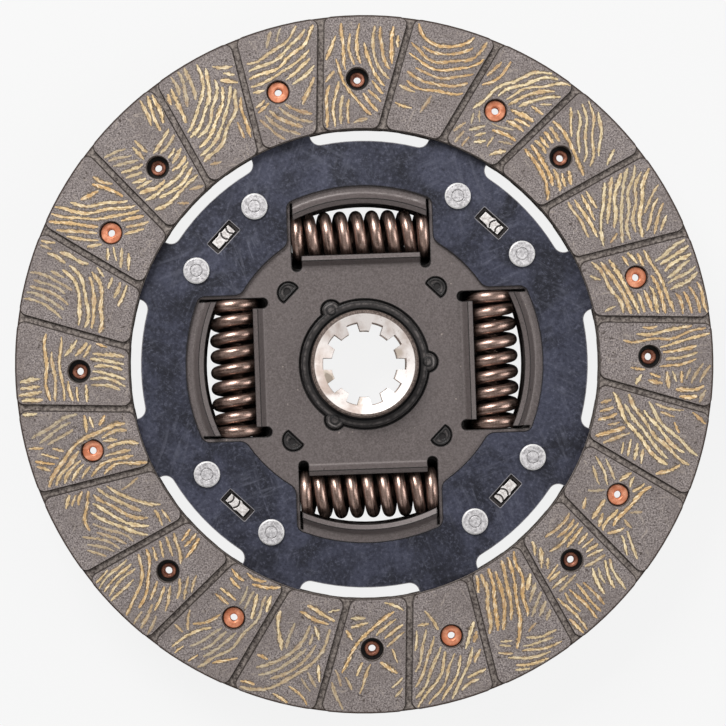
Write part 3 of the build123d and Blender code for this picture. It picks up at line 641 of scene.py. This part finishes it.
def make_spring(number, material):
    """A round-wire coil spring in its window, slimmer towards its ends, which are ground flat.

    It sits a little off its solid's axis, clear of the rear lips when it turns with its body.
    """
    outward, along = window_axes(number)
    centre = outward * (SPRING_AXIS_RADIUS + SPRING_OUTWARD)
    centre += Vector((0, 0, SPRING_AXIS_Z + SPRING_FORWARD))
    coil_radius = SPRING_RADIUS - WIRE_RADIUS
    count = (ACTIVE_TURNS + 2) * SPRING_STEPS
    points, faces = [], []
    values = {"wire_x": [], "wire_y": [], "travel": []}
    for step in range(count + 1):
        turn = step / SPRING_STEPS
        around = tau * turn + pi
        radial = outward * sin(around) + Vector((0, 0, cos(around)))
        middle = coil_rise(turn) - SPRING_LENGTH / 2
        slimmer = SPRING_BARREL * (2 * middle / SPRING_LENGTH) ** 2
        streak = STREAK_PACE * turn + STREAK_SHIFT * number
        for side in range(WIRE_STEPS):
            wire = tau * side / WIRE_STEPS
            reach = coil_radius - slimmer + WIRE_RADIUS * cos(wire)
            travel = middle + WIRE_RADIUS * sin(wire)
            travel = min(max(travel, -SPRING_LENGTH / 2), SPRING_LENGTH / 2)
            points.append(centre + radial * reach + along * travel)
            for name, value in zip(values, (cos(wire), sin(wire), streak)):
                values[name].append(value)
    for step in range(count):
        for side in range(WIRE_STEPS):
            after = (side + 1) % WIRE_STEPS
            row, next_row = step * WIRE_STEPS, (step + 1) * WIRE_STEPS
            faces.append((row + side, row + after, next_row + after, next_row + side))
    faces.append(tuple(reversed(range(WIRE_STEPS))))
    faces.append(tuple(count * WIRE_STEPS + side for side in range(WIRE_STEPS)))
    piece = new_piece(f"coil_spring_{number + 1}", points, faces, material, "springs")
    store_values(piece, values)
    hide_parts(f"spring_{number + 1}")
    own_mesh(piece)


def make_lip_webs(material):
    """Narrow webs that join the rear plate's lips to the ends of their windows, as the press leaves them."""
    points, faces = [], []
    for number in range(SPRING_COUNT):
        outward, along = window_axes(number)
        for end in (-1, 1):
            for section in (INNER_LIP_END, OUTER_LIP_END):
                first = len(points)
                for reach, height in section:
                    corner = outward * reach * MM + Vector((0, 0, height * MM))
                    points.append(corner + along * end * (WINDOW_END - WEB_REACH))
                    points.append(corner + along * end * (WINDOW_END + WEB_OVERLAP))
                for corner in range(first, len(points) - 2, 2):
                    faces.append((corner, corner + 1, corner + 3, corner + 2))
    new_piece("rear_lip_webs", points, faces, material, "disc", smooth=False)


def rivet_places():
    """The middles of the rivet pockets in a facing, seen from the front."""
    places = []
    for number in range(RIVET_COUNT):
        for angle in (OWN_RIVET, OTHER_RIVET):
            turned = angle + number * tau / RIVET_COUNT
            places.append((RIVET_CIRCLE * cos(turned), RIVET_CIRCLE * sin(turned)))
    return places


def on_pad(x, y, rivets):
    """Whether a point lies on a pad's face, clear of its edges and of the rivets' pockets."""
    radius = hypot(x, y)
    if not FACING_BORE + YARN_MARGIN < radius < FACING_RADIUS - YARN_MARGIN:
        return False
    for number in range(PAD_COUNT):
        direction = GROOVE_DIRECTION + number * tau / PAD_COUNT
        if x * cos(direction) + y * sin(direction) > 0:
            offset = y * cos(direction) - x * sin(direction) - GROOVE_OFFSET
            if abs(offset) < GROOVE_WIDTH / 2 + YARN_MARGIN:
                return False
    clearance = POCKET_RADIUS + YARN_MARGIN
    return all(hypot(x - rivet_x, y - rivet_y) > clearance for rivet_x, rivet_y in rivets)


def stroke_path(draw, centre, curve, start, length):
    """Points along one yarn stroke: an arc that wavers a little, with its heading at each point."""
    steps = max(FEWEST_STEPS, round(length / YARN_STEP))
    waver, wave, pace = draw.uniform(0, tau), draw.uniform(*WAVER) * MM, draw.uniform(*WAVER_PACE)
    points = []
    for step in range(steps + 1):
        angle = start + step * length / steps / curve
        radius = curve + wave * sin(waver + step * pace)
        lean = wave * pace / YARN_STEP * cos(waver + step * pace)
        x, y = centre[0] + radius * cos(angle), centre[1] + radius * sin(angle)
        points.append((x, y, angle + pi / 2 - lean))
    return points


class Yarn:
    """The yarn that shows in the pads of one facing: bundles of even, curved strokes, ground flat.

    It is laid out as on the front facing, with a side of 1; a side of -1 turns it over for the rear one.
    """

    def __init__(self, seed, side):
        self.draw = random.Random(seed)
        self.side = side
        self.rivets = rivet_places()
        self.taken = {}
        self.points, self.faces = [], []
        self.values = {"across": [], "along": [], "tint": [], "fade": []}

    def is_free(self, x, y, bundle):
        """Whether a point keeps clear of the other bundles' strokes."""
        column, row = int(x // YARN_CLEARANCE), int(y // YARN_CLEARANCE)
        for place in [(column + i, row + j) for i in (-1, 0, 1) for j in (-1, 0, 1)]:
            for other_x, other_y, other in self.taken.get(place, ()):
                if other != bundle and hypot(x - other_x, y - other_y) < YARN_CLEARANCE:
                    return False
        return True

    def on_side(self, x, y, z):
        """The same place on this facing: the rear one is the front one turned over."""
        if self.side > 0:
            return (x, y, z)
        turn = OWN_RIVET + OTHER_RIVET
        return (x * cos(turn) + y * sin(turn), x * sin(turn) - y * cos(turn), -z)

    def add_run(self, run, width, tint, fade):
        """A ribbon along a run of points, uneven, narrowing at its ends, and a hair above the pad."""
        first = len(self.points)
        offset, pace = self.draw.uniform(*UNEVEN_OFFSETS), self.draw.uniform(*UNEVEN_PACE)
        lift = FACE_Z + self.draw.uniform(*YARN_LIFT) * MM
        for index, (x, y, heading) in enumerate(run):
            nearest_end = min(index, len(run) - 1 - index)
            taper = min(1.0, END_WIDTH + END_WIDENING * nearest_end)
            half = width / 2 * taper * (1.0 + UNEVENNESS * sin(offset + index * pace))
            along = offset + index * YARN_STEP / MM
            for across in (-1, 1):
                edge_x, edge_y = x - sin(heading) * half * across, y + cos(heading) * half * across
                self.points.append(self.on_side(edge_x, edge_y, lift))
                for name, value in zip(self.values, (across, along, tint, fade)):
                    self.values[name].append(value)
        for corner in range(first, len(self.points) - 2, 2):
            face = (corner, corner + 2, corner + 3, corner + 1)
            self.faces.append(face if self.side > 0 else face[::-1])

    def add_stroke(self, path, width, tint, fade, bundle):
        """Add the parts of a stroke that lie on a pad and clear of other bundles."""
        run = []
        off_pads = (0.0, 0.0, 0.0)
        for x, y, heading in path + [off_pads]:
            if on_pad(x, y, self.rivets) and self.is_free(x, y, bundle):
                run.append((x, y, heading))
                continue
            if len(run) > SHORTEST_RUN:
                self.add_run(run, width, tint, fade)
                for run_x, run_y, _ in run:
                    place = (int(run_x // YARN_CLEARANCE), int(run_y // YARN_CLEARANCE))
                    self.taken.setdefault(place, []).append((run_x, run_y, bundle))
            run = []

    def add_bundle(self, bundle, kind):
        """Even strokes side by side round one centre, on a pad drawn by the bundle's number."""
        draw = self.draw
        inset, spread = kind["inset"], kind["spread"]
        strokes = draw.randint(*kind["strokes"])
        radius = draw.uniform(FACING_BORE + inset, FACING_RADIUS - inset)
        angle = PAD_MIDDLE + (bundle % PAD_COUNT + draw.uniform(-spread, spread)) * tau / PAD_COUNT
        heading = draw.uniform(0, tau)
        curve = draw.choice([draw.uniform(*reach) for reach in YARN_CURVES]) * MM
        centre = (radius * cos(angle) - curve * cos(heading), radius * sin(angle) - curve * sin(heading))
        gap = draw.uniform(*YARN_GAP) * MM
        warm, bold = draw.uniform(0.0, 1.0), draw.choice(YARN_STRENGTHS)
        thinnest = draw.uniform(*YARN_WIDTH) * MM
        slant = draw.uniform(-YARN_SLANT, YARN_SLANT) * gap
        for index in range(strokes):
            near = curve + (index - (strokes - 1) / 2) * gap
            if near < TIGHTEST_CURVE:
                continue
            length = draw.uniform(*kind["lengths"]) * MM
            shift = draw.uniform(-YARN_START_SPREAD, YARN_START_SPREAD)
            start = heading + (index * slant - length / 2 + shift) / near
            tint = min(1.0, max(0.0, warm + draw.uniform(-TINT_SPREAD, TINT_SPREAD)))
            path = stroke_path(draw, centre, near, start, length)
            width = thinnest + draw.uniform(0.0, YARN_WIDTH_SPREAD) * MM
            self.add_stroke(path, width, tint, bold * draw.uniform(*YARN_BOLDNESS), bundle)

    def make(self, name, material):
        """Lay the bundles, a long one on each pad first, and turn them into a piece of the facing."""
        for bundle in range(YARN_BUNDLES * PAD_COUNT):
            self.add_bundle(bundle, LONG_BUNDLES if bundle < PAD_COUNT else SHORT_BUNDLES)
        piece = new_piece(name, self.points, self.faces, material, "disc")
        store_values(piece, self.values)


def show_pale(shader, share):
    """Show the camera a share of plain pale light, through glass too, and leave the rest as it is lit."""
    path = shader.nodes.new("ShaderNodeLightPath")
    seen = shader.math("MAXIMUM", path.outputs["Is Camera Ray"], path.outputs["Is Transmission Ray"])
    glow = shader.nodes.new("ShaderNodeEmission")
    glow.inputs["Color"].default_value = PALE
    blend = shader.nodes.new("ShaderNodeMixShader")
    shader.link(shader.times(seen, share), blend.inputs[0])
    shader.link(shader.surface.outputs[0], blend.inputs[1])
    shader.link(glow.outputs[0], blend.inputs[2])
    shader.link(blend.outputs[0], shader.nodes["Material Output"].inputs["Surface"])


def make_floor():
    """A plain pale floor that the hub's rear end stands on."""
    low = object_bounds()[0].z
    shader = Shader("pale_floor")
    shader.set(Base_Color=FLOOR_COLOUR, Roughness=0.9, Specular_IOR_Level=0.1)
    show_pale(shader, FLOOR_GLOW)
    mesh = bpy.data.meshes.new("floor")
    corners = [(x * FLOOR_SIZE, y * FLOOR_SIZE, low) for x, y in ((-1, -1), (1, -1), (1, 1), (-1, 1))]
    mesh.from_pydata(corners, [], [(0, 1, 2, 3)])
    mesh.materials.append(shader.material)
    floor = bpy.data.objects.new("floor", mesh)
    bpy.context.scene.collection.objects.link(floor)


def add_lamp(name, place, size, power):
    """A square soft light aimed at the disc."""
    light = bpy.data.lights.new(name, "AREA")
    light.size = size
    light.energy = power
    lamp = bpy.data.objects.new(name, light)
    lamp.location = place
    lamp.rotation_euler = (-Vector(place)).to_track_quat("-Z", "Y").to_euler()
    bpy.context.scene.collection.objects.link(lamp)


def light_scene():
    """Soft studio light, brightest at the upper left, in surroundings that the camera sees pale."""
    world = bpy.data.worlds.new("studio")
    world.use_nodes = True
    nodes, links = world.node_tree.nodes, world.node_tree.links
    sky = nodes["Background"]
    sky.inputs["Color"].default_value = WHITE
    sky.inputs["Strength"].default_value = SKY_STRENGTH
    pale = nodes.new("ShaderNodeBackground")
    pale.inputs["Color"].default_value = PALE
    path = nodes.new("ShaderNodeLightPath")
    blend = nodes.new("ShaderNodeMixShader")
    links.new(path.outputs["Is Camera Ray"], blend.inputs[0])
    links.new(sky.outputs[0], blend.inputs[1])
    links.new(pale.outputs[0], blend.inputs[2])
    links.new(blend.outputs[0], nodes["World Output"].inputs["Surface"])
    bpy.context.scene.world = world
    for lamp in LAMPS:
        add_lamp(*lamp)


def place_camera():
    """Look down at the disc from where the photograph was taken."""
    lens = bpy.data.cameras.new("camera")
    lens.sensor_width = SENSOR
    lens.lens = SENSOR * EYE.length / VIEW_WIDTH
    camera = bpy.data.objects.new("camera", lens)
    camera.location = EYE + Vector((0, 0, FACE_Z))
    back = (EYE - AIM).normalized()
    right = Vector((0, 1, 0)).cross(back).normalized()
    camera.rotation_euler = Matrix((right, back.cross(right), back)).transposed().to_euler()
    bpy.context.scene.collection.objects.link(camera)
    bpy.context.scene.camera = camera


finishes = dress_nodes()
yarn = yarn_material()
for number in range(SPRING_COUNT):
    make_spring(number, finishes["spring_steel"])
make_lip_webs(finishes["phosphated_steel"])
Yarn(FRONT_SEED, 1).make("front_facing_yarn", yarn)
Yarn(REAR_SEED, -1).make("rear_facing_yarn", yarn)
make_floor()
light_scene()
place_camera()
bpy.context.scene.view_settings.view_transform = "Standard"
